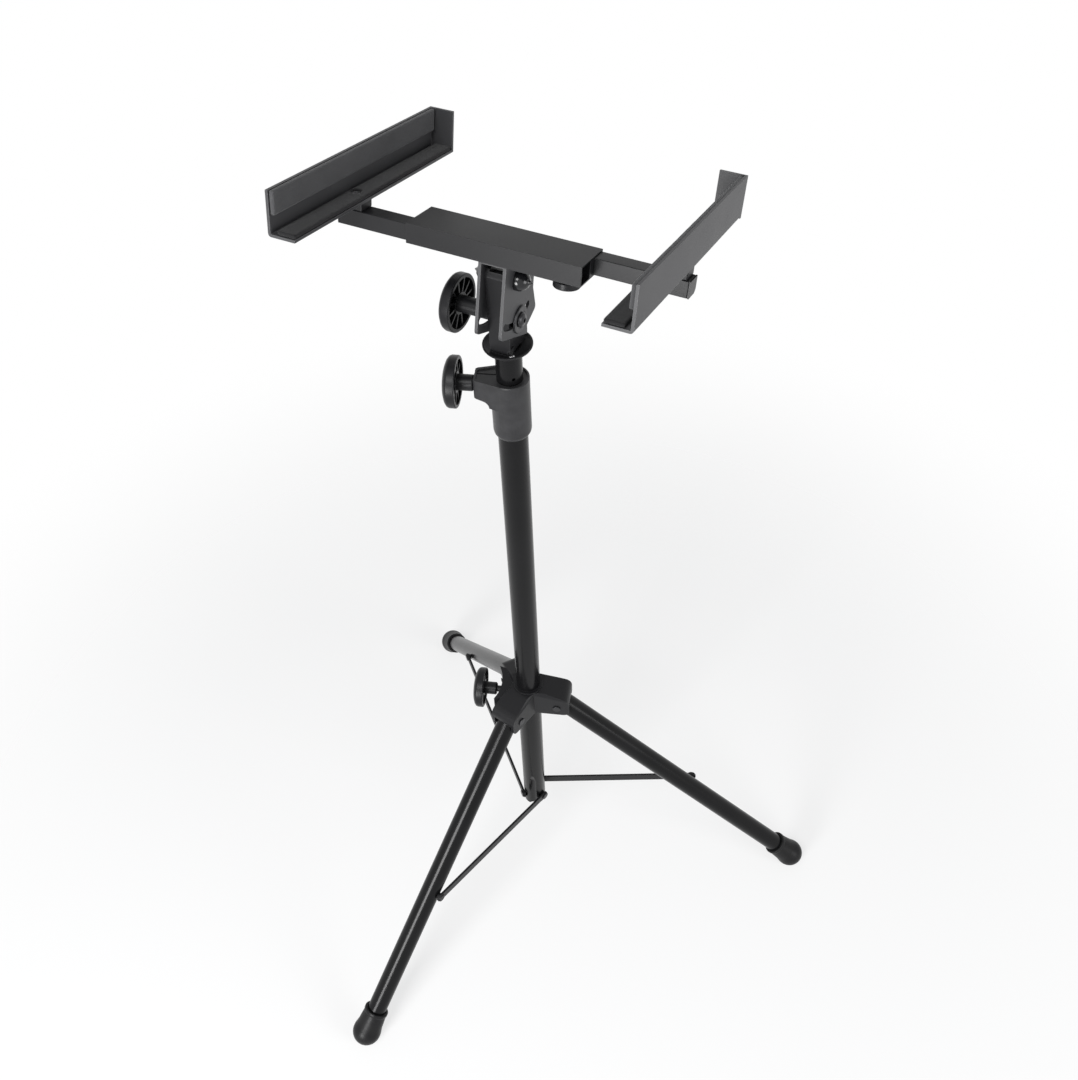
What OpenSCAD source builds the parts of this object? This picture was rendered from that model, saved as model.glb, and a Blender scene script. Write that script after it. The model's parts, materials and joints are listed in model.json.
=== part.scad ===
// Folding tripod stand with a telescopic mast, a tilting head and a tray whose two
// side rails slide apart to hold a projector. Millimetres, +Z up, mast axis on Z,
// floor at Z = 0, front of the tray towards -Y. The tray is drawn as it is set in
// use, with its front end tilted up.

/* [Mast] */
// Outside diameter of the outer mast tube
mast_d = 30; // [28:0.5:34]
// Wall of the outer mast tube
mast_wall = 1.5; // [1.2:0.1:1.8]
// Length of the outer mast tube
mast_len = 788; // [700:1:860]
// Outside diameter of the telescopic post
post_d = 25.6; // [24:0.2:26]
// Wall of the telescopic post
post_wall = 1.2; // [1:0.1:2]
// Length of the telescopic post
post_len = 500; // [400:1:560]
// Height of the dished flange above the clamp
post_show = 40; // [34:1:60]

/* [Legs] */
// Outside diameter of the leg tubes
leg_d = 25.4; // [22:0.2:26]
// Wall of the leg tubes
leg_wall = 1.2; // [1:0.1:2]
// Length from the leg pivot to the centre of the foot ball
leg_len = 491.4; // [440:0.2:540]
// Angle between a leg and the mast
leg_spread = 43.7; // [40:0.1:47]
// Direction of the right leg seen from above
leg_turn = 17.8; // [0:0.1:40]
// Distance of the leg pivots from the mast axis
pivot_r = 38; // [36:0.5:42]
// Radius of the foot ball
foot_r = 19; // [17:0.5:22]
// Length of the foot's sleeve above the ball
foot_len = 36; // [28:1:44]

/* [Braces] */
// Distance along a leg from its pivot to the brace
brace_reach = 265; // [240:1:290]
// Length of a brace between its two pivots
brace_len = 227.2; // [222:0.2:236]
// Width of a brace strip
brace_w = 12; // [9:0.5:14]
// Thickness of a brace strip
brace_t = 3; // [2:0.1:4]

/* [Hub] */
// Outside radius of the hub's collar
hub_r = 20.5; // [19:0.5:22]
// Height of the hub's collar above the leg pivots
hub_top = 29; // [26:0.5:32]
// Depth of the hub below the leg pivots
hub_drop = 13.5; // [13:0.5:15]
// Length of a hub arm from the mast axis
arm_len = 54; // [52:0.5:58]
// Thickness of a hub arm's cheeks
cheek_wall = 4.2; // [3:0.1:6]

/* [Clamp] */
// Outside radius of the mast clamp
clamp_r = 19; // [18:0.5:22]
// Height of the mast clamp
clamp_h = 70; // [60:1:80]
// Reach of the clamp's lug from the mast axis
lug_reach = 34; // [31:0.5:38]
// Width of the clamp's lug
lug_w = 21; // [18:0.5:24]
// Height of the clamp's lug
lug_h = 22; // [20:0.5:26]

/* [Knobs] */
// Diameter of the hub and clamp knobs
knob_d = 51; // [44:1:56]
// Diameter of the tilt knob
tilt_knob_d = 55; // [50:1:60]
// Thickness of a knob from its crown to the edge of its rim
knob_t = 14; // [12:0.5:16]
// Length of a knob's boss beyond its rim
knob_boss = 15.5; // [12:0.5:20]
// Diameter of the tray's thumb screw
thumb_d = 24; // [20:1:28]

/* [Head] */
// Height of the tilt pivot above the dished flange
neck_h = 73.5; // [70:0.5:80]
// Width of the neck between the yoke plates
neck_w = 20.6; // [18:0.2:24]
// Depth of the neck from front to back
neck_depth = 30; // [26:1:34]
// Sheet thickness of the neck
neck_t = 3; // [2:0.1:4]
// Radius of the dished flange
dish_r = 23.5; // [22:0.5:26]
// Radius of the lock slot about the tilt pivot
slot_r = 42.4; // [40:0.2:44]
// Tilt of the tray, front end up
tray_tilt = 12.7; // [0:0.1:20]
// Thickness of the yoke plates
yoke_t = 2.8; // [2:0.1:3.2]
// Reach of the yoke plates in front of the tilt pivot
yoke_front = 23.5; // [22:0.5:28]
// Reach of the yoke plates behind the tilt pivot
yoke_back = 35; // [34:0.5:40]
// Depth of the yoke plates below the tilt pivot
yoke_drop = 63.5; // [62:0.5:70]

/* [Tray] */
// Length of the crossbar
bar_len = 164; // [140:1:190]
// Height of the crossbar's underside above the tilt pivot
bar_lift = 20; // [19:0.5:24]
// Depth of a sliding arm's tube
slide_w = 17; // [14:0.5:20]
// Height of a sliding arm's tube
slide_h = 15; // [12:0.5:18]
// Wall of the crossbar and the sliding arms
bar_wall = 1.5; // [1.2:0.1:2]
// Gap between the two sliding arms
slide_gap = 7.6; // [6:0.2:12]
// Length of a sliding arm
slide_len = 193; // [170:1:200]
// Distance of the left rail's outer face from the mast axis
left_reach = 150; // [135:1:200]
// Distance of the right rail's outer face from the mast axis
right_reach = 165; // [135:1:200]
// Length of a rail
rail_len = 264; // [220:1:300]
// Height of a rail
rail_h = 38.4; // [30:0.2:50]
// Width of a rail's foot
rail_w = 25.4; // [22:0.2:32]
// Sheet thickness of a rail
rail_t = 2.5; // [2:0.1:3.5]
// Offset of the tray's centre behind the tilt pivot
tray_back = 5; // [0:0.5:8]
// Height of the saddle between a sliding arm and its rail
saddle_h = 8; // [6:0.5:10]

/* [Pads] */
// Thickness of the floor pads
floor_pad_t = 3.5; // [2:0.1:5]
// Width of the floor pads
floor_pad_w = 17; // [12:0.5:18]
// Thickness of the side pads
side_pad_t = 4; // [2:0.1:5]
// Height of the side pads
side_pad_h = 20; // [15:0.5:26]

/* [Hidden] */
$fn = 64;
e = 0.01;
// Radial clearance of running fits, and gap between pieces that only touch
run = 0.06;
seat = 0.1;
rub = 0.3;

// Directions of the three legs and of the knobs between the front and rear legs
front_az = leg_turn + 240;
right_az = leg_turn;
rear_az = leg_turn + 120;
knob_az = leg_turn + 180;

// Legs, hub and braces
hub_z = foot_r + leg_len * cos(leg_spread);
brace_tip_r = pivot_r + brace_reach * sin(leg_spread);
brace_tip_z = hub_z - brace_reach * cos(leg_spread);
brace_root_z = brace_tip_z - sqrt(pow(brace_len, 2) - pow(brace_tip_r, 2));
brace_rise = atan2(brace_tip_z - brace_root_z, brace_tip_r);
brace_in = mast_d / 2 + rub;
pin_r = 3;
head_r = 5;
head_t = 1.6;
yoke_gap = leg_d / 2 + 0.5;
hub_half = yoke_gap + cheek_wall;
hub_bore = mast_d / 2 + run;

// Mast, clamp and post
mast_z0 = brace_root_z - 15;
mast_z1 = mast_z0 + mast_len;
lobe_len = 70;
clamp_top = mast_z1 + 6;
lug_z = clamp_top - lug_h / 2;
screw_r = 4;
screw_bore = screw_r + run;
knob_lift = 7.5;
boss_reach = 35;
dish_z = clamp_top + post_show;
post_z1 = dish_z - 1;
sleeve_z = dish_z - 10;
sleeve_r = post_d / 2 + 1.5;

// Head: the pivot, the plates either side of the neck and the lock bolt in its slot
pivot_z = dish_z + neck_h;
plate_x0 = neck_w / 2 + seat;
plate_x1 = plate_x0 + yoke_t;
lock_z = pivot_z - slot_r;
lock_r = 3;
washer_r = 13;
tilt_boss = 31;
slot_half = lock_r + 0.3;
slot_front = 28;
slot_back = 38;
bolt_r = 4;
cap_r = 9.5;
neck_crown = 16;
roof_t = 2.5;
cap_len = 15;
screw_az = -52;

// Tray, in its own tilted frame with the tilt pivot at the origin
bay_w = slide_w + 2 * run;
bay_h = slide_h + 2 * run;
bar_w = 2 * bay_w + slide_gap - 2 * run + 2 * bar_wall;
bar_h = bay_h + 2 * bar_wall;
slide_y = (slide_gap + slide_w) / 2;
slide_z = bar_lift + bar_wall + run;
bar_y = tray_back - 9;
thumb_x = 61;
rail_z = slide_z + slide_h + saddle_h;

module at_az(az) rotate([0, 0, az]) children();
module on_leg(az) at_az(az) translate([pivot_r, 0, hub_z]) rotate([0, 180 - leg_spread, 0]) children();
module on_brace(az) at_az(az) translate([0, brace_in, brace_root_z]) rotate([0, -brace_rise, 0]) children();
module at_tray() translate([0, 0, pivot_z]) rotate([-tray_tilt, 0, 0]) children();
module tube(r, wall, h) difference() {
    cylinder(r = r, h = h);
    translate([0, 0, -e]) cylinder(r = r - wall, h = h + 2 * e);
}
module across(r, y0, y1) translate([0, y1, 0]) rotate([90, 0, 0]) cylinder(r = r, h = y1 - y0);
module along_x(r, x0, x1) translate([x0, 0, 0]) rotate([0, 90, 0]) cylinder(r = r, h = x1 - x0);

// Points of an arc in a plane, from angle a0 to a1 about a centre
function round_by(cx, cy, r, a0, a1, n) = [for (i = [0 : n])
    let (a = a0 + (a1 - a0) * i / n) [cx + r * cos(a), cy + r * sin(a)]];

// A moulded knob on +Z: crowned closed face at 0, then a ribbed rim round a spoked hollow
// that opens upwards, and a stepped boss that reaches boss_len beyond the rim
module knob(d, t, boss_r, boss_len, spokes) {
    rim = 3.6;
    web = 7;
    r = d / 2;
    difference() {
        rotate_extrude() polygon([
            [0, 0], [r * 0.4, 0.4], [r * 0.7, 1.5], [r - 3.4, 3], [r - 1, 4.8], [r, 7],
            [r, t - 0.8], [r - 0.8, t], [0, t]
        ]);
        translate([0, 0, web]) cylinder(r = r - rim, h = t);
    }
    translate([0, 0, web - e]) cylinder(r = boss_r + 2.5, h = t - web - 1);
    translate([0, 0, web - e]) rotate_extrude() polygon([
        [0, 0], [boss_r, 0], [boss_r, t + boss_len - web - 1.5], [boss_r - 1.5, t + boss_len - web],
        [0, t + boss_len - web]
    ]);
    for (i = [0 : spokes - 1]) rotate([0, 0, i * 360 / spokes])
        translate([boss_r - 1, -0.9, web - e]) cube([r - rim - boss_r + 1.5, 1.8, t - web - 1.5]);
}

// Outer mast tube. Its lower end is pressed into three lobes, which carry the brace pins,
// and its top is slotted for the clamp screw.
module mast_tube() color("#202022") difference() {
    union() {
        translate([0, 0, mast_z0]) tube(mast_d / 2, mast_wall, mast_len);
        translate([0, 0, mast_z0]) tube(mast_d / 2 - 1, 4, lobe_len);
    }
    for (az = [front_az, right_az, rear_az]) {
        at_az(az) translate([0, 0, brace_root_z]) across(pin_r + run, mast_d / 2 - 6, mast_d / 2 + 2);
        at_az(az + 30) translate([mast_d / 2 + 4.6, 0, mast_z0 - e]) {
            cylinder(r = 7.4, h = lobe_len - 8);
            translate([0, 0, lobe_len - 8]) cylinder(r1 = 7.4, r2 = 4.6, h = 16);
        }
    }
    at_az(knob_az) {
        translate([0, 0, lug_z]) along_x(screw_bore, 5, mast_d);
        translate([5, -screw_bore, lug_z]) cube([mast_d, 2 * screw_bore, 40]);
    }
}

// Plan of the clamp's lug: its sides run into the round body almost along its tangents
module lug_plan(inset) {
    a = atan2(lug_w / 2, lug_reach) + acos(clamp_r / norm([lug_reach, lug_w / 2]));
    touch = (clamp_r - inset - 0.4) * [cos(a - 4), sin(a - 4)];
    polygon([
        [0, -touch[1]], [touch[0], -touch[1]], [lug_reach - 2 - inset, 0.5 - lug_w / 2 + inset],
        [lug_reach - inset, 2 - lug_w / 2 + inset], [lug_reach - inset, lug_w / 2 - 2 - inset],
        [lug_reach - 2 - inset, lug_w / 2 - 0.5 - inset], [touch[0], touch[1]], [0, touch[1]]
    ]);
}

// Side of the lug, with a fillet below it that runs into the body
module lug_side() translate([0, clamp_r, 0]) rotate([90, 0, 0]) linear_extrude(2 * clamp_r)
    polygon(concat(
        [[0, clamp_h], [lug_reach, clamp_h], [lug_reach, clamp_h - lug_h]],
        round_by(clamp_r + 7, clamp_h - lug_h - 8, 7, 90, 180, 5),
        [[0, clamp_h - lug_h - 10]]
    ));

module mast_clamp() color("#1c1c1e") translate([0, 0, clamp_top - clamp_h]) difference() {
    union() {
        rotate_extrude() polygon([
            [mast_d / 2 - 3, 0], [clamp_r - 3.4, 0], [clamp_r - 1.6, 1.4], [clamp_r - 0.5, 3.4],
            [clamp_r, 6], [clamp_r, clamp_h - 0.8], [clamp_r - 0.8, clamp_h], [mast_d / 2 - 3, clamp_h]
        ]);
        at_az(knob_az) intersection() {
            linear_extrude(clamp_h) lug_plan(0);
            lug_side();
        }
    }
    translate([0, 0, -e]) cylinder(r = mast_d / 2 + seat, h = clamp_h - 5.5 + e);
    cylinder(r = post_d / 2 + run, h = clamp_h + 1);
    translate([0, 0, clamp_h - 1.6]) {
        cylinder(r = clamp_r - 2, h = 3);
        at_az(knob_az) linear_extrude(3) lug_plan(2);
    }
    at_az(knob_az) {
        translate([post_d / 2 - 2, -4, clamp_h - 5]) cube([lug_reach, 2, 6]);
        translate([0, 0, clamp_h - lug_h / 2]) along_x(screw_bore, post_d / 2 - 2, lug_reach + 1);
    }
}

// A knob with its screw, turned so that the hollow side faces the mast
module side_knob(reach, tip) {
    translate([reach + knob_boss + knob_t, 0, 0]) rotate([0, -90, 0]) knob(knob_d, knob_t, 8, knob_boss, 10);
    along_x(screw_r, tip, reach + 1);
}

module clamp_knob() color("#1a1a1c") at_az(knob_az) translate([0, 0, lug_z])
    side_knob(lug_reach + 0.4, post_d / 2 + 0.5);

// Side profile of a hub arm from the mast axis outwards: sloping hood, rounded end, flat foot
module arm_side() translate([0, hub_half, 0]) rotate([90, 0, 0]) linear_extrude(2 * hub_half)
    polygon(concat(
        [[0, -hub_drop], [0, hub_top - 1], [hub_r, hub_top - 2], [pivot_r - 8, hub_top - 5]],
        round_by(arm_len - 14, 6, 14, 75, 0, 6),
        round_by(arm_len - 8, -hub_drop + 8, 8, 0, -90, 5)
    ));

// Cross-section of the hood, with rounded shoulders, laid along the slope of the arm
module arm_hood() translate([0, 0, hub_top + 3.5]) rotate([0, 12, 0]) rotate([90, 0, 90])
    linear_extrude(arm_len + 20) polygon(concat(
        [[-hub_half, -60], [hub_half, -60]],
        round_by(hub_half - 7, -7, 7, 0, 90, 5),
        round_by(7 - hub_half, -7, 7, 90, 180, 5)
    ));

// Room for a leg: round over its pivot, then open along the spread leg
module leg_room() translate([0, yoke_gap, 0]) rotate([90, 0, 0]) linear_extrude(2 * yoke_gap)
    polygon(concat(
        round_by(pivot_r, 0, leg_d / 2 + 0.8, 180, 90 - leg_spread, 8),
        [[pivot_r + 80, (leg_d / 2 + 0.8) / sin(leg_spread) - 80 / tan(leg_spread)],
         [pivot_r + 80, -120], [pivot_r - leg_d / 2 - 0.8, -120]]
    ));

// Web between the front and rear arms that carries the knob's screw
module knob_web() translate([0, 0, -hub_drop + 2]) linear_extrude(hub_drop + hub_top - 9) {
    half = round_by(pivot_r + 46, 0, 50, 180, 150, 5);
    polygon(concat([[0, 0]], [for (p = half) p], [[20, 20]]));
    mirror([0, 1, 0]) polygon(concat([[0, 0]], [for (p = half) p], [[20, 20]]));
}

module hub() color("#1c1c1e") translate([0, 0, hub_z]) difference() {
    union() {
        translate([0, 0, -hub_drop - 3]) cylinder(r = hub_r, h = hub_drop + 3 + hub_top - 4);
        cylinder(r = hub_r - 2, h = hub_top);
        for (az = [front_az, right_az, rear_az]) at_az(az) intersection() {
            arm_side();
            arm_hood();
        }
        at_az(knob_az) {
            knob_web();
            translate([0, 0, knob_lift]) along_x(9, 0, boss_reach);
        }
    }
    translate([0, 0, -50]) cylinder(r = hub_bore, h = 100);
    for (az = [front_az, right_az, rear_az]) at_az(az) {
        leg_room();
        translate([pivot_r, 0, 0]) {
            across(pin_r + run, -hub_half - 1, hub_half + 1);
            across(head_r + 1, hub_half, hub_half + 12);
            across(head_r + 1, -hub_half - 12, -hub_half);
        }
    }
    at_az(knob_az) translate([0, 0, knob_lift]) along_x(screw_bore, mast_d / 2 - 2, boss_reach + 1);
}

module hub_knob() color("#1a1a1c") at_az(knob_az) translate([0, 0, hub_z + knob_lift])
    side_knob(boss_reach + 6, mast_d / 2 + 0.5);

module leg(az) color("#202022") on_leg(az) difference() {
    intersection() {
        translate([0, 0, -leg_d / 2]) cylinder(r = leg_d / 2, h = leg_len + leg_d / 2 - 3);
        union() {
            across(leg_d / 2, -leg_d, leg_d);
            translate([-leg_d, -leg_d, 0]) cube([2 * leg_d, 2 * leg_d, leg_len]);
        }
    }
    translate([0, 0, leg_d / 2 + 3]) cylinder(r = leg_d / 2 - leg_wall, h = leg_len);
    across(pin_r + run, -leg_d, leg_d);
}

module foot(az) color("#18181a") on_leg(az) translate([0, 0, leg_len]) difference() {
    union() {
        sphere(r = foot_r);
        translate([0, 0, -foot_len]) rotate_extrude() polygon([
            [0, 0], [leg_d / 2 + 3, 0], [leg_d / 2 + 3.6, 1], [leg_d / 2 + 3.6, 4], [leg_d / 2 + 2.8, 5.5],
            [foot_r - 2, foot_len - 12], [foot_r - 0.3, foot_len - 4], [foot_r - 0.3, foot_len], [0, foot_len]
        ]);
    }
    translate([0, 0, -foot_len - 1]) cylinder(r = leg_d / 2 + seat, h = foot_len + 1 - 3 + seat);
}

module brace(az) color("#202022") on_brace(az) difference() {
    union() {
        translate([0, 0, -brace_w / 2]) cube([brace_len, brace_t, brace_w]);
        across(brace_w / 2, 0, brace_t);
        translate([brace_len, 0, 0]) across(brace_w / 2, 0, brace_t);
        translate([brace_len, 0, 0]) across(pin_r + 1, leg_d / 2 + rub - brace_in, brace_t + head_t);
        translate([brace_len, 0, 0]) across(head_r, brace_t, brace_t + head_t);
    }
    across(pin_r + run, -1, brace_t + 1);
}

module leg_pins() color("#2a2a2c") for (az = [front_az, right_az, rear_az])
    at_az(az) translate([pivot_r, 0, hub_z]) {
        across(pin_r, -hub_half - head_t, hub_half + head_t);
        across(head_r, -hub_half - head_t, -hub_half);
        across(head_r, hub_half, hub_half + head_t);
    }

module brace_pins() color("#2a2a2c") for (az = [front_az, right_az, rear_az])
    at_az(az) translate([0, 0, brace_root_z]) {
        across(pin_r, mast_d / 2 - mast_wall - 1.5, brace_in + brace_t + rub + head_t);
        across(head_r, brace_in + brace_t + rub, brace_in + brace_t + rub + head_t);
    }

module post_tube() color("#26262a") difference() {
    translate([0, 0, post_z1 - post_len]) tube(post_d / 2, post_wall, post_len);
    translate([0, 0, clamp_top + 6]) at_az(screw_az + 7) along_x(1.8, 5, post_d);
}

module neck() color("#1c1c1e") difference() {
    union() {
        intersection() {
            translate([-neck_w / 2, -neck_depth / 2, dish_z - 3]) cube([neck_w, neck_depth, neck_h + 3 + 12]);
            union() {
                translate([0, 0, pivot_z]) along_x(neck_crown, -neck_w, neck_w);
                translate([-neck_w, -neck_depth, dish_z - 4]) cube([2 * neck_w, 2 * neck_depth, neck_h + 4]);
            }
        }
        translate([0, 0, sleeve_z]) rotate_extrude() polygon([
            [0, 0], [sleeve_r, 0], [sleeve_r + 0.6, 1.5], [dish_r - 3, 6.2], [dish_r - 0.6, 8],
            [dish_r, 9], [dish_r, 10], [dish_r - 1.2, 10.3], [dish_r - 4, 8.8], [sleeve_r + 1, 8], [0, 8]
        ]);
    }
    translate([-neck_w / 2 + neck_t, -neck_depth / 2 + neck_t, dish_z + 4])
        cube([neck_w - 2 * neck_t, neck_depth, neck_h + 20]);
    translate([0, 0, sleeve_z - 1]) cylinder(r = post_d / 2 + seat, h = post_z1 + seat - sleeve_z + 1);
    translate([0, 0, pivot_z]) along_x(bolt_r + run, -neck_w, neck_w);
    translate([0, 0, lock_z]) along_x(lock_r + run, -neck_w, neck_w);
    on_dish() {
        translate([0, 0, -8]) cylinder(r = 1.6, h = 10);
        cylinder(r = 3.2, h = 10);
    }
}

// Small screw through the dish into the post, square to the dish's slope
module on_dish() at_az(screw_az) translate([dish_r - 5, 0, dish_z - 2.2]) rotate([0, -35, 0]) children();
module neck_screw() color("#b8b8bc") on_dish() {
    translate([0, 0, -2.5]) cylinder(r = 1.5, h = 3);
    rotate_extrude() polygon([[0, 0.1], [3, 0.1], [2.9, 0.9], [2, 1.7], [0, 2]]);
}

// Outline of a yoke plate: front edge, rounded foot, sloping lower edge, and a rear edge
// that humps round the slot's end
module plate_outline() polygon(concat(
    [[-yoke_front, bar_lift]],
    round_by(2.5 - yoke_front, 19 - yoke_drop, 5, 176, 260, 5),
    [[yoke_back - 7, -yoke_drop], [yoke_back - 6, 1.5 - yoke_drop], [yoke_back - 7.5, 9 - yoke_drop]],
    round_by(yoke_back + 3.6, 22 - yoke_drop, 4.6, -60, 30, 4),
    [[yoke_back + 0.5, 42.5 - yoke_drop], [yoke_back, bar_lift]]
));
// Arc slot about the pivot: angles run from straight down towards the rear
function arc(r, a0, a1, n) = [for (i = [0 : n]) let (a = a0 + (a1 - a0) * i / n) [r * sin(a), -r * cos(a)]];
function arc_end(at, a0, n) = [for (i = [1 : n - 1]) let (a = a0 + 180 * i / n)
    [slot_r * sin(at) + slot_half * sin(a), -slot_r * cos(at) - slot_half * cos(a)]];
module slot_outline() polygon(concat(
    arc(slot_r + slot_half, -slot_front, slot_back, 16),
    arc_end(slot_back, slot_back, 6),
    arc(slot_r - slot_half, slot_back, -slot_front, 16),
    arc_end(-slot_front, -slot_front + 180, 6)
));
module plate(x0) translate([x0, 0, 0]) rotate([90, 0, 90]) linear_extrude(yoke_t) difference() {
    plate_outline();
    slot_outline();
}

module tray_yoke() color("#222224") at_tray() difference() {
    union() {
        plate(plate_x0);
        plate(-plate_x1);
        translate([-plate_x1, 0.5 - yoke_front, bar_lift - roof_t])
            cube([2 * plate_x1, yoke_front + yoke_back - 0.5, roof_t]);
    }
    along_x(bolt_r + run, -plate_x1 - 1, plate_x1 + 1);
}

module pivot_bolt() color("#2a2a2c") translate([0, 0, pivot_z]) along_x(bolt_r, -plate_x1 - 5, plate_x1 + 5);
module pivot_cap(dir) color("#161618") translate([0, 0, pivot_z]) rotate([0, 90 * dir, 0])
    translate([0, 0, plate_x1 + seat]) difference() {
        rotate_extrude() polygon([
            [0, 0], [cap_r, 0], [cap_r, 4], [cap_r - 0.6, 5.5], [cap_r - 1.2, 7], [cap_r - 2.6, 9],
            [cap_r - 4.6, 10.8], [cap_r - 7, 11.7], [0, cap_len]
        ]);
        translate([0, 0, -1]) cylinder(r = bolt_r + seat, h = 6.2);
    }

module lock_bolt() color("#2a2a2c") translate([0, 0, lock_z]) {
    along_x(lock_r, -plate_x1 - 14, plate_x1 + 2);
    translate([plate_x1 + seat + 1.3, 0, 0]) rotate([0, 90, 0]) difference() {
        rotate_extrude() polygon([[0, 0], [7, 0], [7, 1.4], [5.6, 3], [3, 4], [0, 4.2]]);
        translate([0, 0, 2]) cylinder(r = 2.4, h = 4, $fn = 6);
    }
}

// Broad dished washer under the lock bolt's head
module lock_washer() color("#1c1c1e") translate([plate_x1 + seat, 0, lock_z]) rotate([0, 90, 0]) difference() {
    rotate_extrude() polygon([
        [0, 0], [washer_r, 0], [washer_r, 1.2], [washer_r - 0.8, 1.8], [9, 1.8], [8, 1.2], [0, 1.2]
    ]);
    translate([0, 0, -1]) cylinder(r = lock_r + run, h = 4);
}

module tilt_knob() color("#1a1a1c") translate([-plate_x1 - 0.2 - tilt_boss - knob_t, 0, lock_z]) difference() {
    rotate([0, 90, 0]) knob(tilt_knob_d, knob_t, 8, tilt_boss, 12);
    along_x(lock_r + run, knob_t + tilt_boss - 14, 60);
}

module crossbar() color("#222224") at_tray() translate([-bar_len / 2, bar_y - bar_w / 2, bar_lift]) difference() {
    cube([bar_len, bar_w, bar_h]);
    for (y = [bar_wall, bar_w - bar_wall - bay_w]) translate([-1, y, bar_wall])
        cube([bar_len + 2, bay_w, bay_h]);
    translate([thumb_x + bar_len / 2, bar_w / 2, -1]) cylinder(r = 3 + run, h = bar_h);
}

module thumb_screw() color("#1a1a1c") at_tray() translate([thumb_x, bar_y, bar_lift]) {
    translate([0, 0, -6]) cylinder(r = 3, h = 6 + bar_h - 3);
    translate([0, 0, -12]) cylinder(r = thumb_d / 2, h = 6);
}

function slide_side(dir) = dir > 0 ? slide_y : -slide_y;
function reach(dir) = dir > 0 ? right_reach : left_reach;

module slide_arm(dir) color("#242426") at_tray()
    translate([dir > 0 ? reach(dir) - slide_len : -reach(dir), bar_y + slide_side(dir) - slide_w / 2, slide_z])
        difference() {
            cube([slide_len, slide_w, slide_h]);
            translate([-1, bar_wall, bar_wall]) cube([slide_len + 2, slide_w - 2 * bar_wall, slide_h - 2 * bar_wall]);
        }

module arm_plug(dir) color("#18181a") at_tray()
    translate([dir * reach(dir), bar_y + slide_side(dir), slide_z + slide_h / 2]) mirror([dir < 0 ? 1 : 0, 0, 0]) {
        translate([seat, 0, 0]) rotate([90, 0, 90]) linear_extrude(1.5) polygon([
            [-slide_w / 2, -slide_h / 2], [slide_w / 2 - 3, -slide_h / 2], [slide_w / 2, 3 - slide_h / 2],
            [slide_w / 2, slide_h / 2], [-slide_w / 2, slide_h / 2]
        ]);
        translate([-8, -slide_w / 2 + bar_wall + seat, -slide_h / 2 + bar_wall + seat])
            cube([8.2, slide_w - 2 * bar_wall - 2 * seat, slide_h - 2 * bar_wall - 2 * seat]);
    }

module saddle(dir) color("#1c1c1e") at_tray()
    translate([dir * (reach(dir) - rail_w / 2), bar_y + slide_side(dir), slide_z + slide_h + seat])
        translate([-rail_w / 2 + 2, -slide_w / 2, 0]) cube([rail_w - 4, slide_w, saddle_h - 2 * seat]);

module rail(dir) color("#222224") at_tray() translate([dir * reach(dir), tray_back, rail_z])
    mirror([dir < 0 ? 1 : 0, 0, 0]) {
        translate([0, rail_len / 2, 0]) rotate([90, 0, 0]) linear_extrude(rail_len) polygon(concat(
            [[-rail_w, rail_t], [-rail_w, 0]],
            round_by(-rail_t - 0.5, rail_t + 0.5, rail_t + 0.5, -90, 0, 4),
            [[0, rail_h], [-rail_t, rail_h]],
            round_by(-rail_t - 0.5, rail_t + 0.5, 0.5, 0, -90, 2)
        ));
        translate([-rail_w, rail_len / 2 - rail_t, 0]) cube([rail_w, rail_t, rail_h]);
    }

module rail_screws(dir) color("#8c8c90") at_tray()
    translate([dir * (reach(dir) - rail_w / 2), bar_y + slide_side(dir), rail_z + rail_t + seat])
        cylinder(r = 4, h = 2);

module side_pad(dir) color("#3a3a3c") at_tray() translate([dir * reach(dir), tray_back, rail_z])
    mirror([dir < 0 ? 1 : 0, 0, 0])
        translate([-rail_t - seat - side_pad_t, -rail_len / 2 + 1, rail_h - side_pad_h - 0.5])
            cube([side_pad_t, rail_len - rail_t - 2, side_pad_h]);

module floor_pad(dir) color("#3a3a3c") at_tray() translate([dir * reach(dir), tray_back, rail_z])
    mirror([dir < 0 ? 1 : 0, 0, 0]) difference() {
        translate([-rail_w + 0.5, -rail_len / 2 + 1, rail_t + seat])
            cube([floor_pad_w, rail_len - rail_t - 2, floor_pad_t]);
        translate([-rail_w / 2, bar_y + slide_side(dir) - tray_back, 0]) cylinder(r = 5, h = 20);
    }

mast_tube();
mast_clamp();
clamp_knob();
hub();
hub_knob();
leg(front_az);  // leg_front
leg(right_az);  // leg_right
leg(rear_az);  // leg_rear
foot(front_az);  // foot_front
foot(right_az);  // foot_right
foot(rear_az);  // foot_rear
brace(front_az);  // brace_front
brace(right_az);  // brace_right
brace(rear_az);  // brace_rear
leg_pins();
brace_pins();
post_tube();
neck();
neck_screw();
tray_yoke();
pivot_bolt();
pivot_cap(-1);  // pivot_cap_left
pivot_cap(1);  // pivot_cap_right
lock_bolt();
lock_washer();
tilt_knob();
crossbar();
thumb_screw();
slide_arm(-1);  // slide_arm_left
slide_arm(1);  // slide_arm_right
arm_plug(-1);  // arm_plug_left
arm_plug(1);  // arm_plug_right
saddle(-1);  // saddle_left
saddle(1);  // saddle_right
rail(-1);  // rail_left
rail(1);  // rail_right
rail_screws(-1);  // rail_screws_left
rail_screws(1);  // rail_screws_right
side_pad(-1);  // side_pad_left
side_pad(1);  // side_pad_right
floor_pad(-1);  // floor_pad_left
floor_pad(1);  // floor_pad_right
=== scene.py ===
import json
import math

import bmesh
import bpy
from mathutils import Matrix, Vector, noise

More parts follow.
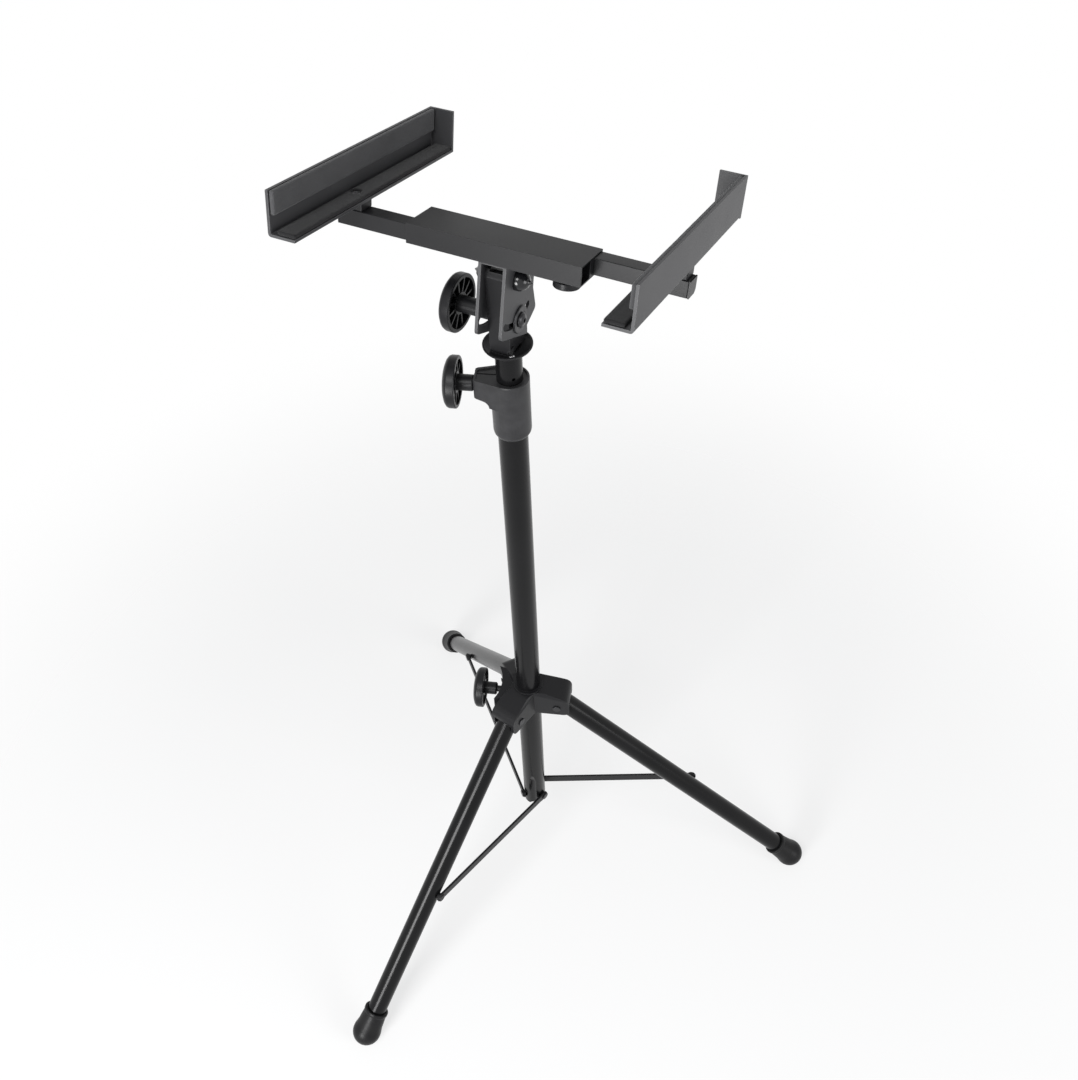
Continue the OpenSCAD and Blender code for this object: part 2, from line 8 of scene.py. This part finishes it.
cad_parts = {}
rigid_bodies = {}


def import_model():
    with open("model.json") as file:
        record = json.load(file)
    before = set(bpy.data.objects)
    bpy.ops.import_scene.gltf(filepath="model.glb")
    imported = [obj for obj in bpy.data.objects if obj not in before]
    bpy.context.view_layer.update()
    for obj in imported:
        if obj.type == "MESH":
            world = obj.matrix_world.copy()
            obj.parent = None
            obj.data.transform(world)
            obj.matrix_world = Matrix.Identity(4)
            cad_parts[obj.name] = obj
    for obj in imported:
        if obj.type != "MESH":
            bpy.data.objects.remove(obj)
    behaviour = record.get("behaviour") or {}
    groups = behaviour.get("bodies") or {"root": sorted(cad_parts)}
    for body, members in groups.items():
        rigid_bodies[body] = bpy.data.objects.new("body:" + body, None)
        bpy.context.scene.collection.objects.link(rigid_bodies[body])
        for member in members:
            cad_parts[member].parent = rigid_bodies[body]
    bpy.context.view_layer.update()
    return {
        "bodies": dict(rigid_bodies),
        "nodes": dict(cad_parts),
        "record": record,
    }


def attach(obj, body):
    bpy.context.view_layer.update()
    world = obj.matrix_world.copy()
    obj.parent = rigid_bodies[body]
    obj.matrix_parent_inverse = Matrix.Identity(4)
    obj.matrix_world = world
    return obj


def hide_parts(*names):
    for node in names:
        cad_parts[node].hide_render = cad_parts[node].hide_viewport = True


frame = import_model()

nodes = frame["nodes"]
bodies = frame["record"]["behaviour"]["bodies"]
body_of_node = {node: body for body, members in bodies.items() for node in members}
slot_of_node = {part["node"]: part["material_slot"] for part in frame["record"]["subparts"]}
kept = set(nodes.values()) | set(frame["bodies"].values())
for obj in list(bpy.data.objects):
    if obj not in kept:
        bpy.data.objects.remove(obj)


# Shader nodes. N and L are the nodes and links of the tree that they go into.

def feed(L, value, socket):
    """Link the value if it is another node's socket, else set it."""
    if isinstance(value, bpy.types.NodeSocket):
        L.new(value, socket)
    else:
        socket.default_value = value


def maths(N, L, operation, first, second):
    node = N.new("ShaderNodeMath")
    node.operation = operation
    feed(L, first, node.inputs[0])
    feed(L, second, node.inputs[1])
    return node.outputs["Value"]


def remap(N, L, value, start, end, low=0.0, high=1.0, curve="LINEAR"):
    """low where the value is at start, high where it is at end, and held beyond both."""
    node = N.new("ShaderNodeMapRange")
    node.interpolation_type = curve
    node.inputs["From Min"].default_value = start
    node.inputs["From Max"].default_value = end
    node.inputs["To Min"].default_value = low
    node.inputs["To Max"].default_value = high
    L.new(value, node.inputs["Value"])
    return node.outputs["Result"]


def mix_colours(N, L, share, first, second):
    node = N.new("ShaderNodeMix")
    node.data_type = "RGBA"
    L.new(share, node.inputs["Factor"])
    feed(L, first, node.inputs["A"])
    feed(L, second, node.inputs["B"])
    return node.outputs["Result"]


def mix_shaders(N, L, share, first, second):
    node = N.new("ShaderNodeMixShader")
    L.new(share, node.inputs["Fac"])
    L.new(first, node.inputs[1])
    L.new(second, node.inputs[2])
    return node.outputs["Shader"]


def seen_directly(N, L):
    """1 for rays from the camera or off a shiny or clear surface, else 0."""
    path = N.new("ShaderNodeLightPath").outputs
    shiny = maths(N, L, "MAXIMUM", path["Is Camera Ray"], path["Is Glossy Ray"])
    return maths(N, L, "MAXIMUM", shiny, path["Is Transmission Ray"])


# Materials. Every finish is made of noise at its own scale, in the piece's own coordinates.

# How much of the fine noise is added to the broad one
FINE_SHARE = 0.35
# Stretch of the summed noise that the colour runs over, and the one for the roughness
COLOUR_SPAN = (0.35, 0.95)
ROUGH_SPAN = (0.3, 0.95)
# Agreement of the true and the rounded normal where the painted edge highlight starts and where it is
# full
EDGE_HIGHLIGHT_SPAN = (0.995, 0.86)
# Painted highlight on an edge: its width in metres, how strong it is, and its colour
METAL_EDGE_HIGHLIGHT = (0.0005, 0.75, (0.20, 0.20, 0.205))
MOULDING_EDGE_HIGHLIGHT = (0.0007, 0.5, (0.07, 0.07, 0.072))

MATS = {}


def painted_highlight_edges(N, L, colour, width, strength, highlight_colour):
    """The colour, turning to a painted highlight colour along the edges."""
    rounded = N.new("ShaderNodeBevel")
    rounded.inputs["Radius"].default_value = width
    true = N.new("ShaderNodeNewGeometry")
    agreement = N.new("ShaderNodeVectorMath")
    agreement.operation = "DOT_PRODUCT"
    L.new(rounded.outputs["Normal"], agreement.inputs[0])
    L.new(true.outputs["Normal"], agreement.inputs[1])
    edge = remap(N, L, agreement.outputs["Value"], *EDGE_HIGHLIGHT_SPAN, 0.0, strength)
    return mix_colours(N, L, edge, colour, (*highlight_colour, 1))


def finish(name, dark, light, rough, grain, depth, strength, cloud=9.0, cells=None, metallic=0.0,
           sheen=0.0, specular=0.5, edge_highlight=None):
    """Keep a material in MATS. Its colour runs from dark to light and its roughness over rough.
    cloud and grain are the scales of the broad and the fine noise, and cells that of pores."""
    material = bpy.data.materials.new(name)
    material.use_nodes = True
    N, L = material.node_tree.nodes, material.node_tree.links
    shader = N["Principled BSDF"]
    coord = N.new("ShaderNodeTexCoord").outputs["Object"]

    broad = N.new("ShaderNodeTexNoise")
    broad.inputs["Scale"].default_value = cloud
    broad.inputs["Detail"].default_value = 5
    broad.inputs["Roughness"].default_value = 0.6
    L.new(coord, broad.inputs["Vector"])
    fine = N.new("ShaderNodeTexNoise")
    fine.inputs["Scale"].default_value = grain
    fine.inputs["Detail"].default_value = 3
    L.new(coord, fine.inputs["Vector"])
    fine_part = maths(N, L, "MULTIPLY", fine.outputs["Fac"], FINE_SHARE)
    mottle = maths(N, L, "ADD", broad.outputs["Fac"], fine_part)

    tone = N.new("ShaderNodeValToRGB")
    ends = tone.color_ramp.elements
    for end, position, end_colour in zip(ends, COLOUR_SPAN, (dark, light)):
        end.position = position
        end.color = (*end_colour, 1)
    L.new(mottle, tone.inputs["Fac"])
    colour = tone.outputs["Color"]
    # Painted highlight along the edges
    if edge_highlight is not None:
        colour = painted_highlight_edges(N, L, colour, *edge_highlight)
    L.new(colour, shader.inputs["Base Color"])
    L.new(remap(N, L, mottle, *ROUGH_SPAN, *rough), shader.inputs["Roughness"])

    height = fine.outputs["Fac"]
    if cells is not None:
        pores = N.new("ShaderNodeTexVoronoi")
        pores.inputs["Scale"].default_value = cells
        L.new(coord, pores.inputs["Vector"])
        height = maths(N, L, "ADD", pores.outputs["Distance"], height)
    bump = N.new("ShaderNodeBump")
    bump.inputs["Strength"].default_value = strength
    bump.inputs["Distance"].default_value = depth
    L.new(height, bump.inputs["Height"])
    L.new(bump.outputs["Normal"], shader.inputs["Normal"])

    shader.inputs["Metallic"].default_value = metallic
    shader.inputs["Sheen Weight"].default_value = sheen
    shader.inputs["Specular IOR Level"].default_value = specular
    MATS[name] = material


finish("tube_black", (0.0030, 0.0030, 0.0033), (0.0065, 0.0065, 0.0070), (0.18, 0.27),
       grain=900, depth=0.00003, strength=0.12, specular=0.15)
finish("sheet_black", (0.036, 0.036, 0.038), (0.054, 0.054, 0.057), (0.38, 0.52),
       grain=2200, depth=0.00006, strength=0.5, specular=0.3, edge_highlight=METAL_EDGE_HIGHLIGHT)
finish("frame_black", (0.007, 0.007, 0.008), (0.013, 0.013, 0.014), (0.32, 0.44),
       grain=2000, depth=0.00005, strength=0.45, specular=0.16, edge_highlight=MOULDING_EDGE_HIGHLIGHT)
finish("moulded_black", (0.006, 0.006, 0.007), (0.011, 0.011, 0.012), (0.26, 0.40),
       grain=1600, depth=0.00005, strength=0.45, cells=1300, specular=0.17, edge_highlight=MOULDING_EDGE_HIGHLIGHT)
# The clamp: the hub's plastic, made lighter and more mottled; the lighter tone is painted light
finish("moulded_painted_light", (0.012, 0.012, 0.013), (0.034, 0.034, 0.036), (0.28, 0.42),
       grain=1600, depth=0.00005, strength=0.45, cloud=55, cells=1300, specular=0.25,
       edge_highlight=MOULDING_EDGE_HIGHLIGHT)
finish("gloss_black", (0.005, 0.005, 0.006), (0.009, 0.009, 0.010), (0.12, 0.22),
       grain=500, depth=0.00002, strength=0.15, specular=0.4)
finish("foot_rubber", (0.006, 0.006, 0.007), (0.014, 0.014, 0.014), (0.30, 0.46),
       grain=1200, depth=0.00007, strength=0.5, cloud=30, specular=0.13)
finish("foam_grey", (0.045, 0.045, 0.047), (0.075, 0.075, 0.078), (0.88, 0.98),
       grain=2600, depth=0.0003, strength=0.8, cloud=45, cells=1500, sheen=0.25, specular=0.2)
# The floor pads' foam: the side pads' foam made darker, as painted shade
finish("foam_painted_shade", (0.010, 0.010, 0.011), (0.020, 0.020, 0.021), (0.88, 0.98),
       grain=2600, depth=0.0003, strength=0.8, cloud=45, cells=1500, sheen=0.15, specular=0.15)
finish("fastener_black", (0.020, 0.020, 0.022), (0.040, 0.040, 0.043), (0.26, 0.40),
       grain=1800, depth=0.00003, strength=0.4, metallic=0.7)
finish("fastener_bright", (0.55, 0.55, 0.56), (0.74, 0.74, 0.75), (0.18, 0.34),
       grain=1500, depth=0.00003, strength=0.4, metallic=1.0)

# Parts that are darker in the photo than the rails and the yoke
# For the crossbar, slide arms and saddles, which sit under the tray, this darker black is painted
# shade
DARKER = {
    "brace_front", "brace_right", "brace_rear", "neck", "crossbar", "slide_arm_left",
    "slide_arm_right", "saddle_left", "saddle_right",
}


def look(node):
    # The clamp takes the lighter copy of the moulding, which is painted light
    if node == "mast_clamp":
        return "moulded_painted_light"
    return "frame_black" if node in DARKER else slot_of_node[node]


# Making pieces

# Distance in metres under which two corners are one, and the bend under which faces are one
WELD = 2e-6
FLAT = math.radians(0.6)
# Bend from which an edge is rounded, and the one from which a turned form shows an edge
ROUNDED_FROM = math.radians(32)
SHARP_FROM = math.radians(60)


def rejoined(node):
    """A CAD node's shape, with its seams welded and its flat faces in one piece."""
    shape = bmesh.new()
    shape.from_mesh(nodes[node].data)
    bmesh.ops.remove_doubles(shape, verts=shape.verts, dist=WELD)
    bmesh.ops.dissolve_limit(shape, angle_limit=FLAT, verts=shape.verts, edges=shape.edges)
    return shape


def new_object(shape, name):
    mesh = bpy.data.meshes.new(name)
    shape.to_mesh(mesh)
    shape.free()
    obj = bpy.data.objects.new(name, mesh)
    bpy.context.scene.collection.objects.link(obj)
    return obj


def settle(obj, node, mat):
    """Let the piece stand for the CAD node: give it its material, put it in the node's body and hide
    the node.
    """
    obj.data.materials.clear()
    obj.data.materials.append(MATS[mat])
    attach(obj, body_of_node[node])
    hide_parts(node)


def soften(node, width):
    """Replace a CAD node by a copy with its edges rounded by width, or, at width 0, with its
    turned form shaded smooth."""
    obj = new_object(rejoined(node), node + "_soft")
    obj.data.shade_smooth()
    if width:
        edges = obj.modifiers.new("edges", "BEVEL")
        edges.width = width
        edges.segments = 2
        edges.limit_method = "ANGLE"
        edges.angle_limit = ROUNDED_FROM
        shading = obj.modifiers.new("shading", "WEIGHTED_NORMAL")
        shading.keep_sharp = True
    else:
        obj.data.set_sharp_from_angle(angle=SHARP_FROM)
    settle(obj, node, look(node))


# Width of the rounded edges, in metres. The pivot bolt is shown as it is, and the pads are foam.
SOFT_EDGE = {
    "mast_tube": 0.0004, "mast_clamp": 0.0008, "clamp_knob": 0.0005, "hub": 0.0010,
    "hub_knob": 0.0005, "leg_pins": 0.0004, "brace_pins": 0.0004, "post_tube": 0.0003,
    "neck": 0.0006, "neck_screw": 0.0004, "tray_yoke": 0.0005, "lock_bolt": 0.0004,
    "lock_washer": 0.0005, "tilt_knob": 0.0005, "crossbar": 0.0007, "thumb_screw": 0.0007,
}
for leg in ("front", "right", "rear"):
    SOFT_EDGE["leg_" + leg] = 0.0005
    SOFT_EDGE["foot_" + leg] = 0.0006
    SOFT_EDGE["brace_" + leg] = 0.0007
for side in ("left", "right"):
    SOFT_EDGE["pivot_cap_" + side] = 0
    SOFT_EDGE["slide_arm_" + side] = 0.0012
    SOFT_EDGE["arm_plug_" + side] = 0.0006
    SOFT_EDGE["saddle_" + side] = 0.0010
    SOFT_EDGE["rail_" + side] = 0.0006
    SOFT_EDGE["rail_screws_" + side] = 0.0008
for node, width in SOFT_EDGE.items():
    soften(node, width)

for node, obj in nodes.items():
    obj.data.materials.clear()
    obj.data.materials.append(MATS[look(node)])


# Foam pads: soft-edged strips, a little uneven. They are made level and then tilted with the tray.

LEVEL = Matrix.Rotation(math.radians(12.7), 3, "X")
TILTED = LEVEL.inverted()
FOAM_CELL = 0.001
FOAM_SWELL = 0.0003


def foam(node, mat):
    shape = rejoined(node)
    bmesh.ops.rotate(shape, verts=shape.verts, cent=(0, 0, 0), matrix=LEVEL)
    obj = new_object(shape, node + "_foam")
    cells = obj.modifiers.new("cells", "REMESH")
    cells.mode = "VOXEL"
    cells.voxel_size = FOAM_CELL
    soft = obj.modifiers.new("soft", "SMOOTH")
    soft.iterations = 3
    soft.factor = 0.5
    bpy.context.view_layer.update()
    depsgraph = bpy.context.evaluated_depsgraph_get()
    baked = bpy.data.meshes.new_from_object(obj.evaluated_get(depsgraph))
    obj.modifiers.clear()
    obj.data = baked
    for v in baked.vertices:
        p = v.co
        swell = noise.noise(p * 60) * 0.6 + noise.noise(p * 260) * 0.4
        v.co = TILTED @ (p + v.normal * (FOAM_SWELL * (swell - 0.5)))
    baked.shade_smooth()
    settle(obj, node, mat)


# The floor pads take the darker foam, which is painted shade
for side in ("left", "right"):
    foam("side_pad_" + side, "foam_grey")
    foam("floor_pad_" + side, "foam_painted_shade")


# Floor, light and camera

# Half the floor's width, and the distances from the mast at which it starts and ends fading
FLOOR_HALF = 3
FADE_START = 0.5
FADE_END = 1.3
# Share of the floor's own glow where it is seen directly
FLOOR_GLOW = 0.68


def stage_floor():
    """A white floor that takes soft shadows and fades into the white world. Light that bounces off it
    comes from a darker floor, so that the stand's undersides stay dark."""
    grid = bmesh.new()
    bmesh.ops.create_grid(grid, x_segments=1, y_segments=1, size=FLOOR_HALF)
    floor = new_object(grid, "floor")
    material = bpy.data.materials.new("floor")
    material.use_nodes = True
    N, L = material.node_tree.nodes, material.node_tree.links
    shader = N["Principled BSDF"]
    seen = seen_directly(N, L)

    cloud = N.new("ShaderNodeTexNoise")
    cloud.inputs["Scale"].default_value = 3
    white = N.new("ShaderNodeValToRGB")
    white.color_ramp.elements[0].color = (0.86, 0.86, 0.86, 1)
    white.color_ramp.elements[1].color = (0.90, 0.90, 0.90, 1)
    L.new(cloud.outputs["Fac"], white.inputs["Fac"])
    colour = mix_colours(N, L, seen, (0.35, 0.35, 0.35, 1), white.outputs["Color"])
    L.new(colour, shader.inputs["Base Color"])
    shader.inputs["Roughness"].default_value = 0.9
    shader.inputs["Specular IOR Level"].default_value = 0.1

    glow = N.new("ShaderNodeEmission")
    glow.inputs["Strength"].default_value = 1.0
    glow_share = maths(N, L, "MULTIPLY", seen, FLOOR_GLOW)
    lit = mix_shaders(N, L, glow_share, shader.outputs["BSDF"], glow.outputs["Emission"])
    distance = N.new("ShaderNodeVectorMath")
    distance.operation = "LENGTH"
    L.new(N.new("ShaderNodeTexCoord").outputs["Object"], distance.inputs[0])
    fade = remap(N, L, distance.outputs["Value"], FADE_START, FADE_END, curve="SMOOTHSTEP")
    clear = N.new("ShaderNodeBsdfTransparent")
    surface = mix_shaders(N, L, fade, lit, clear.outputs["BSDF"])
    L.new(surface, N["Material Output"].inputs["Surface"])
    floor.data.materials.append(material)


def white_world():
    """White where it is seen directly, and a dim light on everything else."""
    world = bpy.data.worlds.new("white")
    bpy.context.scene.world = world
    world.use_nodes = True
    N, L = world.node_tree.nodes, world.node_tree.links
    dim = N["Background"]
    dim.inputs["Color"].default_value = (0.95, 0.97, 1.0, 1)
    dim.inputs["Strength"].default_value = 0.3
    bright = N.new("ShaderNodeBackground")
    bright.inputs["Color"].default_value = (1, 1, 1, 1)
    sky = mix_shaders(N, L, seen_directly(N, L), dim.outputs["Background"],
                      bright.outputs["Background"])
    L.new(sky, N["World Output"].inputs["Surface"])


def lamp(name, at, to, size, watts):
    light = bpy.data.lights.new(name, "AREA")
    light.shape = "RECTANGLE"
    light.size, light.size_y = size
    light.energy = watts
    obj = bpy.data.objects.new(name, light)
    bpy.context.scene.collection.objects.link(obj)
    obj.location = at
    obj.rotation_mode = "QUATERNION"
    obj.rotation_quaternion = (Vector(to) - Vector(at)).to_track_quat("-Z", "Y")


# The camera, as fitted to the photo together with the stand: its distance from the mast's axis and
# its height in metres, the side that it stands on, and how it is turned
CAMERA_OUT = 0.83318
CAMERA_HEIGHT = 1.62177
CAMERA_SIDE = math.radians(28.48)
YAW = math.radians(-1.455) + CAMERA_SIDE
PITCH = math.radians(48.667)
ROLL = math.radians(2.387)
# Focal length and height of the photo in its pixels, and the width of the sensor in millimetres
FOCAL_PIXELS = 1153.727
PHOTO_PIXELS = 1080
SENSOR = 36


def photo_camera():
    data = bpy.data.cameras.new("camera")
    data.sensor_width = SENSOR
    data.lens = FOCAL_PIXELS * SENSOR / PHOTO_PIXELS
    data.clip_start, data.clip_end = 0.05, 60
    camera = bpy.data.objects.new("camera", data)
    bpy.context.scene.collection.objects.link(camera)
    across, along = math.sin(CAMERA_SIDE), -math.cos(CAMERA_SIDE)
    at = Vector((CAMERA_OUT * across, CAMERA_OUT * along, CAMERA_HEIGHT))
    yaw = Matrix.Rotation(YAW, 4, "Z")
    pitch = Matrix.Rotation(math.pi / 2 - PITCH, 4, "X")
    roll = Matrix.Rotation(-ROLL, 4, "Z")
    camera.matrix_world = Matrix.Translation(at) @ yaw @ pitch @ roll
    bpy.context.scene.camera = camera


stage_floor()
white_world()
lamp("side", (2.4, -0.5, 1.25), (0, 0, 0.85), (1.2, 1.4), 32)
lamp("above", (-0.1, -1.5, 2.4), (0, 0, 0.6), (0.8, 0.7), 22)
lamp("front", (-0.31, -2.4, 0.82), (0, 0, 0.4), (0.8, 1.0), 60)
photo_camera()
bpy.context.scene.view_settings.view_transform = "Standard"
